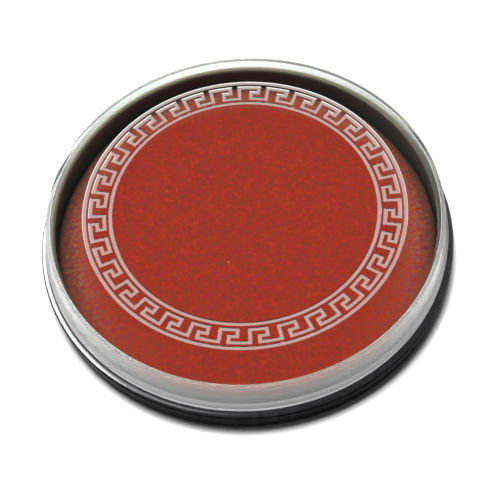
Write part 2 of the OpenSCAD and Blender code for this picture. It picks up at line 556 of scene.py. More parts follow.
def wall_outer(z):
    """Radius of the lid's side at a height: it leans in towards the top."""
    return BEAD_R - BEAD_OUT - DRAFT * (z - SHOULDER_Z) / LID_H


def wall_inner(z):
    """Radius of the inside of the lid's wall at a height."""
    return wall_outer(z) - WALL_T


SKIRT_FOOT_Z = 0.6 * MM
SKIRT_TAPER = 0.4 * MM
SKIRT_T = 1.2 * MM
SHOULDER_T = 1.4 * MM
SHOULDER_ROUND = 1.1 * MM
FOOT_R = 40 * MM
FOOT_W = 1.8 * MM
SPIGOT_FOOT_R = wall_inner(SHOULDER_Z) - FIT_GAP
SPIGOT_TOP_R = wall_inner(SPIGOT_TOP) - FIT_GAP
SPIGOT_T = 1.1 * MM
WELL_DRAFT = 0.2 * MM
LEAD_IN = 0.35 * MM
SOFT_EDGE = 0.15 * MM
RIBS = 24
RIB_T = 0.9 * MM
RIB_INSET = 1 * MM
GLOSSY, SKIRT = 0, 1


def base_outline():
    """Under the floor, round the foot ring and the skirt, over the shoulder, and into the well."""
    under = SHOULDER_Z - SHOULDER_T
    skirt_r = BASE_R - SKIRT_TAPER
    well_top = SPIGOT_TOP_R - SPIGOT_T
    return [
        (0, SKIRT_FOOT_Z), (FOOT_R - FOOT_W, SKIRT_FOOT_Z),
        *arc(FOOT_R - FOOT_W + SOFT_EDGE, SOFT_EDGE, SOFT_EDGE, 180, 270, 4),
        *arc(FOOT_R - SOFT_EDGE, SOFT_EDGE, SOFT_EDGE, 270, 360, 4),
        (FOOT_R, SKIRT_FOOT_Z), (SPIGOT_FOOT_R, SKIRT_FOOT_Z),
        (SPIGOT_FOOT_R, under), (BASE_R - SKIRT_T, under),
        (skirt_r - SKIRT_T, SKIRT_FOOT_Z),
        *arc(skirt_r - SOFT_EDGE, SKIRT_FOOT_Z + SOFT_EDGE, SOFT_EDGE, 270, 350, 4),
        *arc(BASE_R - SHOULDER_ROUND, SHOULDER_Z - SHOULDER_ROUND, SHOULDER_ROUND, 0, 90, 20),
        (SPIGOT_FOOT_R, SHOULDER_Z), (SPIGOT_TOP_R, SPIGOT_TOP - LEAD_IN),
        (SPIGOT_TOP_R - 0.5 * LEAD_IN, SPIGOT_TOP - 0.2 * LEAD_IN),
        (SPIGOT_TOP_R - LEAD_IN, SPIGOT_TOP),
        (well_top + LEAD_IN, SPIGOT_TOP),
        (well_top + 0.5 * LEAD_IN, SPIGOT_TOP - 0.2 * LEAD_IN),
        (well_top, SPIGOT_TOP - LEAD_IN),
        (well_top - WELL_DRAFT, FLOOR_Z), (0, FLOOR_Z),
    ]


print("points in the base's outline:", len(base_outline()))

# %% [markdown]
# ### Ribs under the shoulder
# Twenty-four ribs stiffen the skirt. They show when the box is turned over, so they are real shapes
# too: thin plates joined into the base, with their lower edge broken.

# %% Build the base


def add_rib(bm, angle):
    """One thin plate under the shoulder, from the spigot's foot to the skirt."""
    inner = SPIGOT_FOOT_R - 0.5 * SPIGOT_T
    outer = BASE_R - SKIRT_TAPER - 0.6 * SKIRT_T
    low = SKIRT_FOOT_Z + RIB_INSET
    high = SHOULDER_Z - 0.5 * SHOULDER_T
    turn = Matrix.Rotation(angle, 3, "Z")
    half, soft = 0.5 * RIB_T, SOFT_EDGE
    section = [
        (-half, high), (-half, low + soft), (soft - half, low),
        (half - soft, low), (half, low + soft), (half, high),
    ]
    ends = [[bm.verts.new(turn @ Vector((r, y, z))) for y, z in section] for r in (inner, outer)]
    bm.faces.new(ends[0])
    bm.faces.new(reversed(ends[1]))
    for i in range(len(section)):
        j = (i + 1) % len(section)
        bm.faces.new((ends[0][i], ends[0][j], ends[1][j], ends[1][i]))


def base_finishes():
    """The shoulder and all inside are glossy. The skirt below the rounding is duller and painted darker, as
    painted shade.
    """
    low = SHOULDER_Z - 0.45 * SHOULDER_ROUND
    return [SKIRT if r > BASE_R - SKIRT_T and z < low else GLOSSY for r, z in base_outline()]


def make_base():
    """The turned base and its ribs, which ride together."""
    base = turned("black_base", base_outline(), STEPS, base_finishes())
    bm = bmesh.new()
    for i in range(RIBS):
        add_rib(bm, 2 * math.pi * i / RIBS)
    ribs = as_object("skirt_ribs", bm)
    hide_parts("base_tray")
    for piece in (base, ribs):
        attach(piece, "base")
    return base, ribs


BASE, SKIRT_RIBS = make_base()
print("faces in the base:", len(BASE.data.polygons))

# %% [markdown]
# ### Two lamps for the base alone
# Black plastic shows only what it mirrors, so the base needs wide lamps, but in the clear lid the same
# lamps would wash the red pad away. A photographer would set flags between lamp and lid. Blender can
# instead be told which pieces a lamp lights, by a collection of receivers.

# %% Link two lamps to the base


def shine_only_on(lamp, piece):
    """Lets a lamp light one piece and nothing else."""
    group = bpy.data.collections.new(lamp.name + "_receivers")
    group.objects.link(piece)
    lamp.light_linking.receiver_collection = group


for lamp in (streak_box, side_box):
    shine_only_on(lamp, BASE)
print("lamps for the base alone:", [lamp.name for lamp in (streak_box, side_box)])

# %% [markdown]
# ### Black moulded plastic
# Glossy black plastic is nearly all reflection. The eye reads it by how sharp the lamp's streak is,
# so the colour is a very dark grey, the gloss is high and slightly uneven, and a few specks of dust
# lie on it. Faint upright streaks on the skirt are left by the mould's polishing. The skirt is painted
# a deeper black than the shoulder, as painted shade, and mirrors less. Inside the well the wall is
# painted paler, as painted light, and the spigot's top carries an olive painted highlight of its
# rounded edge, strongest at the outer edge and towards the back.

# %% Make the black plastic
BLACK = (0.018, 0.018, 0.020)
BLACK_WORN = (0.032, 0.032, 0.036)
DUST = (0.32, 0.31, 0.3)
# Painted shade: the skirt's black and its worn streaks are darker than the shoulder's.
SKIRT_SHADE_BLACK = (0.006, 0.006, 0.0065)
SKIRT_SHADE_WORN = (0.012, 0.012, 0.0125)
# Painted light: the inside of the well is paler than the black plastic.
WELL_PAINTED_LIGHT = (0.070, 0.088, 0.066)
# Painted highlight: an olive tone on the spigot's top stands for its rounded edge catching light.
OLIVE_PAINTED_HIGHLIGHT = (0.23, 0.20, 0.115)
WELL_EDGE = (1.2 * MM, 0.9 * MM)
TOP_BAND = (0.5 * MM, 0.2 * MM)
HIGHLIGHT_BAND = (1.1 * MM, 0.1 * MM)
HIGHLIGHT_WAY = (-0.3, 1.0, 0.0)
HIGHLIGHT_FROM, HIGHLIGHT_TO = -10 * MM, 38 * MM


def near_spigot_edge(tree, radius, band, at_start, at_end):
    """A value that changes across a band, whose ends lie at two distances inside the spigot's rim."""
    start, end = band
    return spread(tree, radius, SPIGOT_TOP_R - start, SPIGOT_TOP_R - end, at_start, at_end)


def make_black_plastic(name, black, worn_black, bend, mirror, gloss):
    """bend is the index of refraction, mirror the strength of the reflections, and gloss their blur."""
    material, tree, shader = new_material(name, IOR=bend, Specular_IOR_Level=mirror)
    surface = place_group(
        tree, MOULDED, Gloss=gloss, Unevenness=0.08, Ripple_Size=140.0, Ripple_Height=0.03 * MM,
    )
    place = add(tree, "ShaderNodeTexCoord").outputs["Object"]
    upright = add(tree, "ShaderNodeMapping", {"Vector": place, "Scale": (1.0, 1.0, 0.03)})
    streaks = add(tree, "ShaderNodeTexNoise", {
        "Vector": upright.outputs["Vector"], "Scale": 900.0, "Detail": 2.0,
    })
    worn = spread(tree, streaks.outputs["Fac"], 0.45, 0.8, 0.0, 1.0)
    dusted = place_group(tree, SPECKS, Cells=700.0, Share=0.03, Dot=0.09)
    height = add(tree, "ShaderNodeSeparateXYZ", {"Vector": place}).outputs["Z"]
    radius = distance_from_axis(tree, place)
    # Painted light: the well's wall is painted paler than the black plastic.
    well_painted_light = near_spigot_edge(tree, radius, WELL_EDGE, 1.0, 0.0)
    on_top = spread(tree, height, SPIGOT_TOP - TOP_BAND[0], SPIGOT_TOP - TOP_BAND[1], 0.0, 1.0)
    near_edge = near_spigot_edge(tree, radius, HIGHLIGHT_BAND, 0.25, 1.0)
    highlight_side = spread(tree, way_along(tree, place, HIGHLIGHT_WAY), HIGHLIGHT_FROM, HIGHLIGHT_TO, 0.2, 1.0)
    colour = blend_colours(tree, worn, black, worn_black)
    colour = blend_colours(tree, well_painted_light, colour, WELL_PAINTED_LIGHT)
    # Painted highlight: olive on the spigot's top, strongest at its outer edge and towards the back.
    painted_highlight = maths(tree, "MULTIPLY", maths(tree, "MULTIPLY", on_top, near_edge), highlight_side)
    colour = blend_colours(tree, painted_highlight, colour, OLIVE_PAINTED_HIGHLIGHT)
    colour = blend_colours(tree, dusted.outputs["Mask"], colour, DUST)
    tree.links.new(colour, shader.inputs["Base Color"])
    tree.links.new(surface.outputs["Roughness"], shader.inputs["Roughness"])
    tree.links.new(surface.outputs["Normal"], shader.inputs["Normal"])
    return material


BLACK_PLASTIC = make_black_plastic("black_plastic", BLACK, BLACK_WORN, bend=1.5, mirror=0.16, gloss=0.2)
# The skirt's deeper black is painted shade; it also mirrors less.
SHADED_DULL_SKIRT = make_black_plastic("black_skirt_painted_shade", SKIRT_SHADE_BLACK, SKIRT_SHADE_WORN, bend=1.12, mirror=0.12, gloss=0.25)
for piece in (BASE, SKIRT_RIBS):
    piece.data.materials.append(BLACK_PLASTIC)
BASE.data.materials.append(SHADED_DULL_SKIRT)
print("finishes of the base:", [material.name for material in BASE.data.materials])

# %% [markdown]
# ## The ink pad
# The pad is a small upholstered disc. A stiff board and a sponge give it height, felt spreads the ink,
# and a red cloth is drawn over everything and turned in under the board. All the layers are made, from
# the inside out, so that the pad could be cut open and still be right.

# %% Sizes and curves of the pad's layers
PAD_CROWN = 0.6 * MM
PAD_EDGE = 1 * MM
CLOTH_T = 0.4 * MM
FELT_T = 0.7 * MM
LAYER_GAP = 0.1 * MM
HEM_W = 6 * MM
CORE_R = outer_radius("ink_sponge")
HEM_R = PAD_R - HEM_W


def crown(radius, middle):
    """Height of a pad surface at a radius, where middle is its height on the axis."""
    return middle - PAD_CROWN * (radius / PAD_R) ** 2


def crown_line(outer, middle, steps=36):
    """Points on a crown, from the axis out to a radius."""
    return [(outer * i / steps, crown(outer * i / steps, middle)) for i in range(steps + 1)]


def layer_top(outer, middle, edge):
    """A crown that ends in a rounded edge and turns down to the side."""
    flat_r = outer - edge
    return crown_line(flat_r, middle) + arc(flat_r, crown(flat_r, middle) - edge, edge, 82, 0, 8)


def roughen(piece, height, scale, seed):
    """Moves each point along its normal by a fixed noise."""
    offset = Vector((seed * 7.3, seed * 3.1, seed * 1.7))
    moves = []
    for vertex in piece.data.vertices:
        amount = noise.noise(vertex.co * scale + offset)
        moves.append(vertex.normal * (height * amount))
    for vertex, move in zip(piece.data.vertices, moves):
        vertex.co += move
    piece.data.update()


print(f"pad radius {PAD_R / MM:.2f} mm, core radius {CORE_R / MM:.2f} mm")

# %% [markdown]
# ### Adhesive, board, sponge and felt
# The adhesive disc and the board are punched from sheet, so they are thin turned discs with a slightly
# broken edge. The sponge and the felt are soft: their surfaces are pushed in and out a little by noise,
# by less than the gap that the model leaves between the layers.

# %% Build the inner layers


def disc(name, radius, low, high, edge):
    """A punched disc with slightly broken edges."""
    return turned(name, [
        (0, low), (0.5 * radius, low), (radius - edge, low), (radius, low + edge),
        (radius, high - edge), (radius - edge, high), (0.5 * radius, high), (0, high),
    ], 96)


def make_sponge():
    """Foam with a crowned top and a flat underside."""
    middle = PAD_TOP - CLOTH_T - FELT_T - 2 * LAYER_GAP
    low = bottom("ink_sponge")
    high = crown(CORE_R, middle)
    steps = 24
    side = [(CORE_R, high + (low - high) * i / 4) for i in range(1, 4)]
    under = [(CORE_R * (1 - i / steps), low) for i in range(steps + 1)]
    sponge = turned("ink_sponge_foam", crown_line(CORE_R, middle, 48) + side + under, 192)
    roughen(sponge, height=0.04 * MM, scale=900, seed=1)
    return sponge


def make_felt():
    """One even layer of felt that follows the crown."""
    middle = PAD_TOP - CLOTH_T - LAYER_GAP
    edge = PAD_EDGE - CLOTH_T - LAYER_GAP
    under = [(r, z - FELT_T) for r, z in reversed(crown_line(CORE_R, middle))]
    felt = turned("felt_disc", layer_top(CORE_R, middle, edge) + under, 192)
    roughen(felt, height=0.03 * MM, scale=1400, seed=2)
    return felt


ADHESIVE = disc("adhesive_sheet", outer_radius("adhesive_disc"), FLOOR_Z, top("adhesive_disc"), 0.05 * MM)
BOARD = disc("board_disc", CORE_R, bottom("backing_board"), top("backing_board"), 0.08 * MM)
SPONGE = make_sponge()
FELT = make_felt()
INNER = ((ADHESIVE, "adhesive_disc"), (BOARD, "backing_board"), (SPONGE, "ink_sponge"), (FELT, "felt_layer"))
for piece, node in INNER:
    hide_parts(node)
    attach(piece, "base")
print("inner layers:", [piece.name for piece, node in INNER])

# %% [markdown]
# ### The cover cloth
# The cloth lies smooth on the crown, rounds the edge and gathers a little on the side, because a flat
# disc of cloth has too much length round its rim once it is turned down. The gathers are many, low
# and uneven. The thin cloth has an inner and an outer face, so the piece is one closed shell.

# %% Build the cover cloth
GATHERS = 96
GATHER_DEPTH = 0.09 * MM
GATHER_BAND = 1.8 * PAD_EDGE
SAG = 0.05 * MM
SAG_SIZE = 110
CLOTH_STEPS = 2 * STEPS


def cloth_outline():
    """The outer face from the middle to the hem, and the inner face back again."""
    inner_r = PAD_R - CLOTH_T
    outer_face = layer_top(PAD_R, PAD_TOP, PAD_EDGE)
    side_high = outer_face[-1][1]
    side_low = FLOOR_Z + CLOTH_T
    sides = [(PAD_R, side_high + (side_low - side_high) * i / 8) for i in range(1, 8)]
    turn_in = arc(inner_r, side_low, CLOTH_T, 0, -90, 4)
    hem_top = FLOOR_Z + CLOTH_T
    inner_face = layer_top(inner_r, PAD_TOP - CLOTH_T, PAD_EDGE - CLOTH_T)
    hem = [(HEM_R, FLOOR_Z), (HEM_R, hem_top), (inner_r, hem_top)]
    return outer_face + sides + turn_in + hem + inner_face[::-1]


def gather(angle):
    """How far the side of the cloth stands in at an angle, from 0 to 1."""
    around = Vector((math.cos(angle), math.sin(angle), 0))
    drift = 2.2 * noise.noise(around * 6)
    strength = 0.55 + 0.45 * noise.noise(around * 9 + Vector((5, 0, 0)))
    return strength * (0.5 - 0.5 * math.cos(GATHERS * angle + drift * 2 * math.pi))


def make_cover():
    """The cloth as one shell, gathered at its side and sunk a little over the sponge."""
    cover = turned("pad_cover", cloth_outline(), CLOTH_STEPS)
    hem_top = FLOOR_Z + CLOTH_T
    for vertex in cover.data.vertices:
        radius = math.hypot(vertex.co.x, vertex.co.y)
        if radius < ON_AXIS:
            continue
        angle = math.atan2(vertex.co.y, vertex.co.x)
        at_rim = min(1, max(0, (radius - (PAD_R - GATHER_BAND)) / GATHER_BAND))
        on_side = at_rim if vertex.co.z > hem_top else 0
        inward = GATHER_DEPTH * on_side * gather(angle)
        vertex.co.x *= (radius - inward) / radius
        vertex.co.y *= (radius - inward) / radius
        if vertex.co.z > hem_top + MM and radius < PAD_R - PAD_EDGE:
            vertex.co.z -= SAG * (0.5 + 0.5 * noise.noise(vertex.co * SAG_SIZE))
    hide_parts("pad_cloth")
    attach(cover, "base")
    return cover


PAD_COVER = make_cover()

# %% [markdown]
# ### Inked cloth
# Red paste ink soaks the cloth unevenly: its stains run from orange red to a browner red, with some
# crimson in them, and fine threads still show. At the sides and the back the pad's rim carries painted
# shade: a muted band, broken up by the stains, and a dark edge stand in for the shade of the well's
# wall. The threads run straight across, so two sets of waves at right angles make the weave's height.

# %% Make the weave group


def make_weave():
    """Warp and weft as two sets of waves at right angles, a little out of true."""
    group, given, result = new_group(
        "plain_weave",
        {"Threads": 2200.0},
        [("Height", "NodeSocketFloat")],
    )
    place = add(group, "ShaderNodeTexCoord").outputs["Object"]
    wobble = add(group, "ShaderNodeTexNoise", {"Vector": place, "Scale": 300.0, "Detail": 2.0})
    scaled = add(group, "ShaderNodeVectorMath", {
        0: wobble.outputs["Color"], "Scale": 0.7 * MM,
    }, operation="SCALE")
    bent = add(group, "ShaderNodeVectorMath", {0: place, 1: scaled.outputs["Vector"]}, operation="ADD")
    parts = add(group, "ShaderNodeSeparateXYZ", {"Vector": bent.outputs["Vector"]})
    warp = maths(group, "SINE", maths(group, "MULTIPLY", parts.outputs["X"], given.outputs["Threads"]), 0.0)
    weft = maths(group, "SINE", maths(group, "MULTIPLY", parts.outputs["Y"], given.outputs["Threads"]), 0.0)
    over = maths(group, "MULTIPLY", warp, weft)
    group.links.new(spread(group, over, -1.0, 1.0, 0.0, 1.0), result.inputs["Height"])
    return group


WEAVE = make_weave()
print("group:", WEAVE.name)

# %% [markdown]
# ### Colours of the cloth
# Seven tones of ink make the cloth's colour, and three of them are painted shade. They are laid over
# one another by masks: stains over the whole cloth, then the rim's muted band of painted shade, then
# its dark edge of painted shade, then lint. The weave and the fibres are too fine to model as threads,
# so they are a bump.

# %% Make the inked cloth
INK_RED = (0.235, 0.021, 0.011)
INK_BRIGHT = (0.30, 0.026, 0.010)
INK_BROWN = (0.15, 0.030, 0.011)
INK_CRIMSON = (0.22, 0.017, 0.022)
# The muted, ochre and dark tones below are painted shade for the pad's rim.
INK_MUTED_SHADE = (0.20, 0.064, 0.062)
INK_OCHRE_SHADE = (0.24, 0.088, 0.042)
INK_DARK_SHADE = (0.036, 0.019, 0.015)
LINT = (0.5, 0.2, 0.14)
RIM_WANDER = 2.5 * MM
SHADE_FROM, SHADE_TO = -32 * MM, -8 * MM
MUTED_SHADE_BAND = (8 * MM, 3 * MM)
DARK_SHADE_BAND = (3.6 * MM, 0.6 * MM)


def make_inked_cloth():
    """Red cloth, stained unevenly, with painted shade along its rim at the sides and the back."""
    material, tree, shader = new_material("inked_cloth", Specular_IOR_Level=0.0)
    soaked = place_group(tree, FIBRES, Stain_Size=1100.0, Fibre_Size=4200.0)
    weave = place_group(tree, WEAVE, Threads=17000.0)
    lint = place_group(tree, SPECKS, Cells=420.0, Share=0.08, Dot=0.07)
    brown = spread(tree, soaked.outputs["Stain"], 0.5, 0.66, 0.0, 0.9)
    bright = spread(tree, soaked.outputs["Stain"], 0.5, 0.34, 0.0, 0.8)
    crimson = spread(tree, soaked.outputs["Tint"], 0.5, 0.66, 0.0, 0.65)
    colour = blend_colours(tree, bright, INK_RED, INK_BRIGHT)
    colour = blend_colours(tree, brown, colour, INK_BROWN)
    colour = blend_colours(tree, crimson, colour, INK_CRIMSON)
    place = add(tree, "ShaderNodeTexCoord").outputs["Object"]
    radius = distance_from_axis(tree, place)
    uneven = maths(tree, "MULTIPLY", maths(tree, "SUBTRACT", soaked.outputs["Tint"], 0.5), RIM_WANDER)
    outward = maths(tree, "ADD", radius, uneven)
    back = add(tree, "ShaderNodeSeparateXYZ", {"Vector": place}).outputs["Y"]
    # Painted shade: the rim is muted and then darkened at the sides and the back, for the shade of the
    # well's wall.
    shaded_side = spread(tree, back, SHADE_FROM, SHADE_TO, 0.0, 1.0)
    patchy = maths(tree, "MULTIPLY", shaded_side, spread(tree, soaked.outputs["Stain"], 0.38, 0.58, 0.25, 1.0))
    near_rim = spread(tree, outward, PAD_R - MUTED_SHADE_BAND[0], PAD_R - MUTED_SHADE_BAND[1], 0.0, 0.8)
    at_rim = spread(tree, outward, PAD_R - DARK_SHADE_BAND[0], PAD_R - DARK_SHADE_BAND[1], 0.0, 0.9)
    muted_shade = maths(tree, "MULTIPLY", patchy, near_rim)
    dark_shade = maths(tree, "MULTIPLY", shaded_side, at_rim)
    ochre = spread(tree, soaked.outputs["Tint"], 0.54, 0.46, 0.0, 1.0)
    colour = blend_colours(tree, muted_shade, colour, blend_colours(tree, ochre, INK_MUTED_SHADE, INK_OCHRE_SHADE))
    colour = blend_colours(tree, dark_shade, colour, INK_DARK_SHADE)
    colour = blend_colours(tree, lint.outputs["Mask"], colour, LINT)
    tree.links.new(colour, shader.inputs["Base Color"])
    wet = spread(tree, soaked.outputs["Stain"], 0.3, 0.7, 0.75, 0.55)
    tree.links.new(wet, shader.inputs["Roughness"])
    fuzz = maths(tree, "MULTIPLY", soaked.outputs["Height"], 0.8)
    relief = maths(tree, "ADD", weave.outputs["Height"], fuzz)
    bump = add(tree, "ShaderNodeBump", {"Strength": 0.4, "Distance": 0.04 * MM, "Height": relief})
    tree.links.new(bump.outputs["Normal"], shader.inputs["Normal"])
    return material


PAD_COVER.data.materials.append(make_inked_cloth())
print("finish of the cloth:", PAD_COVER.data.materials[0].name)

# %% [markdown]
# ### Layers under the cloth
# Felt and sponge are soaked red, and the board and the adhesive stay pale. None needs more than two
# tones in stains and a bump of fibres or pores, so one function makes all four.

# %% Make the inner layers' materials


def make_soft_material(name, pale, dark, stain_size, fibre_size, depth):
    """Felt, sponge, board or adhesive: two tones in stains, and fibres or pores as bump."""
    material, tree, shader = new_material(name, Roughness=0.9, Specular_IOR_Level=0.2)
    soaked = place_group(tree, FIBRES, Stain_Size=stain_size, Fibre_Size=fibre_size)
    factor = spread(tree, soaked.outputs["Stain"], 0.3, 0.7, 0.0, 1.0)
    tree.links.new(blend_colours(tree, factor, pale, dark), shader.inputs["Base Color"])
    fibres = soaked.outputs["Height"]
    bump = add(tree, "ShaderNodeBump", {"Strength": 0.8, "Distance": depth, "Height": fibres})
    tree.links.new(bump.outputs["Normal"], shader.inputs["Normal"])
    return material


LAYER_FINISHES = (
    (ADHESIVE, "adhesive", (0.70, 0.64, 0.50), (0.60, 0.53, 0.39), 300, 3000, 0.02 * MM),
    (BOARD, "board", (0.33, 0.26, 0.18), (0.25, 0.19, 0.12), 240, 2600, 0.03 * MM),
    (SPONGE, "sponge", (0.36, 0.035, 0.024), (0.20, 0.016, 0.012), 200, 1800, 0.25 * MM),
    (FELT, "felt", (0.38, 0.04, 0.026), (0.22, 0.02, 0.014), 320, 3600, 0.12 * MM),
)
for piece, slot_name, pale, dark, stain_size, fibre_size, depth in LAYER_FINISHES:
    material = make_soft_material("soaked_" + slot_name, pale, dark, stain_size, fibre_size, depth)
    piece.data.materials.append(material)
print("finishes under the cloth:", [row[1] for row in LAYER_FINISHES])

# %% [markdown]
# ## The lid
# The lid is one clear moulding. Its flat top falls softly to a rounded edge, its side ends in a bead,
# and the border is pressed into the top. Clear plastic shows every fault of a mesh, so nothing is cut
# with a boolean: the plate, the border and the walls are built point by point into one closed skin.

# %% Sizes of the lid
PLATE_T = 1.6 * MM
BEAD_H = 2.4 * MM
LIP_ROUND = 0.4 * MM
LIP_BAND = 0.75 * MM
FLAT_R = 36.5 * MM
CROWN_DROP = 1 * MM
EDGE_ROUND = 0.35 * MM
FILLET = 0.25 * MM
KEY_R = 30 * MM
KEY_H = 3 * MM
KEY_SPAN = 0.69
KEY_REACH = 0.27
KEY_TURN = 0.52
STROKE_W = 0.85 * MM
STROKE_DEPTH = 0.2 * MM
STROKE_FLOOR_W = 0.7 * MM
RING_GAP = 1.3 * MM
UNDERSIDE_RINGS = (35 * MM, 30 * MM, 20 * MM, 10 * MM, 0)
CLEAR, SATIN, FROST, LIP, RIM, HAZE = range(6)

print(f"lid {2 * BEAD_R / MM:.1f} mm across and {LID_H / MM:.1f} mm high")

# %% [markdown]
# ### The lid's outline
# From the border's outer ring the outline runs out over the flat, down the falling edge, round the
# corner, down the side to the bead and its lip, and back up inside to the plate's underside. The
# falling edge is an arc that leaves the flat smoothly, and the small rounding touches that arc and
# the wall, which Pythagoras gives. Each stretch carries the number of its finish.

# %% Outline the lid


def lid_outline():
    """Pairs of a point and the finish of the stretch that follows it."""
    edge_r = wall_outer(LID_TOP - CROWN_DROP - EDGE_ROUND)
    span = edge_r - FLAT_R
    fall_r = (span ** 2 + CROWN_DROP ** 2) / (2 * CROWN_DROP)
    fall_z = LID_TOP - fall_r
    round_r = edge_r - EDGE_ROUND
    round_z = fall_z + math.sqrt((fall_r - EDGE_ROUND) ** 2 - (round_r - FLAT_R) ** 2)
    meet = math.degrees(math.atan2(round_z - fall_z, round_r - FLAT_R))
    bead_z = SHOULDER_Z + BEAD_H
    plate_z = LID_TOP - PLATE_T
    plate_r = wall_inner(plate_z) - FILLET
    soft = 0.5 * BEAD_OUT
    upper = arc(FLAT_R, fall_z, fall_r, 90, meet, 14)
    corner = arc(round_r, round_z, EDGE_ROUND, meet, 0, 10)[1:]
    side = [(wall_outer(z), z) for z in (bead_z + 3 * MM, bead_z + 2 * soft)]
    step = [(wall_outer(bead_z), bead_z + soft), (BEAD_R - 0.5 * soft, bead_z - 0.6 * soft)]
    bead = [(BEAD_R, bead_z - 2 * soft)]
    edge = [(BEAD_R, SHOULDER_Z + LIP_ROUND + LIP_BAND)]
    lip = arc(BEAD_R - LIP_ROUND, SHOULDER_Z + LIP_ROUND, LIP_ROUND, 0, -90, 8)
    mouth = [(wall_inner(SHOULDER_Z) + LEAD_IN, SHOULDER_Z), (wall_inner(SHOULDER_Z), SHOULDER_Z + LEAD_IN)]
    inside = [(wall_inner(bead_z + 2 * MM), bead_z + 2 * MM)]
    fillet = arc(plate_r, plate_z - FILLET, FILLET, 0, 90, 10)
    under = [(r, plate_z) for r in UNDERSIDE_RINGS]
    parts = (
        (upper[:-2], CLEAR), (upper[-2:], RIM), (corner, RIM), (side, SATIN), (step, HAZE), (bead, HAZE),
        (edge, LIP), (lip, LIP), (mouth, SATIN), (inside, SATIN), (fillet, CLEAR), (under, CLEAR),
    )
    return [(point, finish) for points, finish in parts for point in points]


print("points in the lid's outline:", len(lid_outline()))

# %% [markdown]
# ### The key border
# The border is one endless stroke between two plain rings. Its corners are given as shares of one
# repeat and of the height, and each corner also says which way its outer edge lies, so that the
# stroke keeps its width round every turn. The stroke is a shallow groove. Its wide frosted floor shows
# as the pale line, and its narrow clear slopes draw a fine dark outline on both sides of it.
# The last number of a corner is the number of steps to the next corner.

# %% Lay out the key border
KEY_CORNERS = (
    (0, 1, -1, 1, 8),
    (KEY_SPAN, 1, 1, 1, 1),
    (KEY_SPAN, 0, 1, 1, 7),
    (1 + KEY_REACH, 0, -1, 1, 1),
    (1 + KEY_REACH, KEY_TURN, -1, -1, 3),
    (1, KEY_TURN, -1, -1, 1),
)


def key_corner(motif, corner, offset):
    """Angle and radius of one corner of the line that lies at an offset outside the stroke's middle."""
    share, height, along, outward, steps = corner
    radius = KEY_R + height * KEY_H
    angle = (motif + share) * 2 * math.pi / MOTIFS + along * offset / radius
    return angle, radius + outward * offset


def key_line(offset):
    """Points all the way round on the line at an offset outside the stroke's middle."""
    corners = [(key_corner(m, c, offset), c[4]) for m in range(MOTIFS) for c in KEY_CORNERS]
    points = []
    for i, ((angle, radius), steps) in enumerate(corners):
        next_angle, next_radius = corners[(i + 1) % len(corners)][0]
        if i == len(corners) - 1:
            next_angle += 2 * math.pi
        for j in range(steps):
            part = j / steps
            a = angle + (next_angle - angle) * part
            r = radius + (next_radius - radius) * part
            points.append((r * math.cos(a), r * math.sin(a)))
    return points


print("points along the key border:", len(key_line(0)))

# %% [markdown]
# ### Three grooves
# Each groove is four closed lines joined by faces: a slope down, a floor and a slope up. The two ring
# lines and the key stroke differ only in how their lines run, so they share one function.

# %% Helpers for the grooves


def closed_line(bm, points, z):
    """Mesh points for a closed line at one height."""
    return [bm.verts.new((x, y, z)) for x, y in points]


def groove(bm, lines):
    """Joins four closed lines, from the inner edge to the outer edge: slope, bottom, slope."""
    for (a, b), finish in zip(zip(lines, lines[1:]), (CLEAR, FROST, CLEAR)):
        bridge(bm, a, b, finish)


def ring_groove(bm, middle):
    """A groove for one of the two ring lines. Returns its inner and outer edge."""
    half, low_half = 0.5 * STROKE_W, 0.5 * STROKE_FLOOR_W
    low = LID_TOP - STROKE_DEPTH
    lines = [
        ring(bm, middle - half, LID_TOP), ring(bm, middle - low_half, low),
        ring(bm, middle + low_half, low), ring(bm, middle + half, LID_TOP),
    ]
    groove(bm, lines)
    return lines[0], lines[3]


def key_groove(bm):
    """The groove of the key stroke. Returns its inner and outer edge."""
    half, low_half = 0.5 * STROKE_W, 0.5 * STROKE_FLOOR_W
    low = LID_TOP - STROKE_DEPTH
    places = ((-half, LID_TOP), (-low_half, low), (low_half, low), (half, LID_TOP))
    lines = [closed_line(bm, key_line(offset), z) for offset, z in places]
    groove(bm, lines)
    return lines[0], lines[3]


print("a groove is", round(STROKE_W / MM, 2), "mm wide at the top")

# %% [markdown]
# ### One closed skin
# The grooves are built first, and the flat rings between them are filled with triangles. The middle of
# the plate and all that lies outside the outer ring are plain turned stretches, so the whole lid closes
# without a seam.

# %% Build the lid


def fill_between(bm, a, b):
    """Flat faces between two closed lines at the same height."""
    edges = []
    for line in (a, b):
        for i, vertex in enumerate(line):
            edges.append(bm.edges.get((vertex, line[(i + 1) % len(line)])))
    bmesh.ops.triangle_fill(bm, use_beauty=True, use_dissolve=False, edges=edges, normal=(0, 0, 1))


def make_lid():
    """The lid as one closed skin, from the middle of its top out and back to its underside."""
    bm = bmesh.new()
    inner_a, inner_b = ring_groove(bm, KEY_R - RING_GAP)
    key_a, key_b = key_groove(bm)
    outer_a, outer_b = ring_groove(bm, KEY_R + KEY_H + RING_GAP)
    fill_between(bm, inner_b, key_a)
    fill_between(bm, key_b, outer_a)
    disc_lines = [ring(bm, share * (KEY_R - RING_GAP), LID_TOP) for share in (0, 0.33, 0.66)] + [inner_a]
    for a, b in zip(disc_lines, disc_lines[1:]):
        bridge(bm, a, b, CLEAR)
    line, finish = outer_b, CLEAR
    for (r, z), next_finish in lid_outline():
        next_line = ring(bm, r, z)
        bridge(bm, line, next_line, finish)
        line, finish = next_line, next_finish
    lid = as_object("clear_lid", bm)
    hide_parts("lid")
    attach(lid, "lid")
    return lid


LID = make_lid()
print("faces in the lid:", len(LID.data.polygons))

# %% [markdown]
# ### Clear, satin and frosted plastic
# Clear plastic bends the view of the pad and mirrors a little of the studio. Lamps can't shine through
# refracting faces in this renderer without grain, so for lamp and soft rays a transparent shader
# stands in, and the pad is lit as it is under a real lid.

# %% Helper for clear plastic
PLASTIC_IOR = 1.49


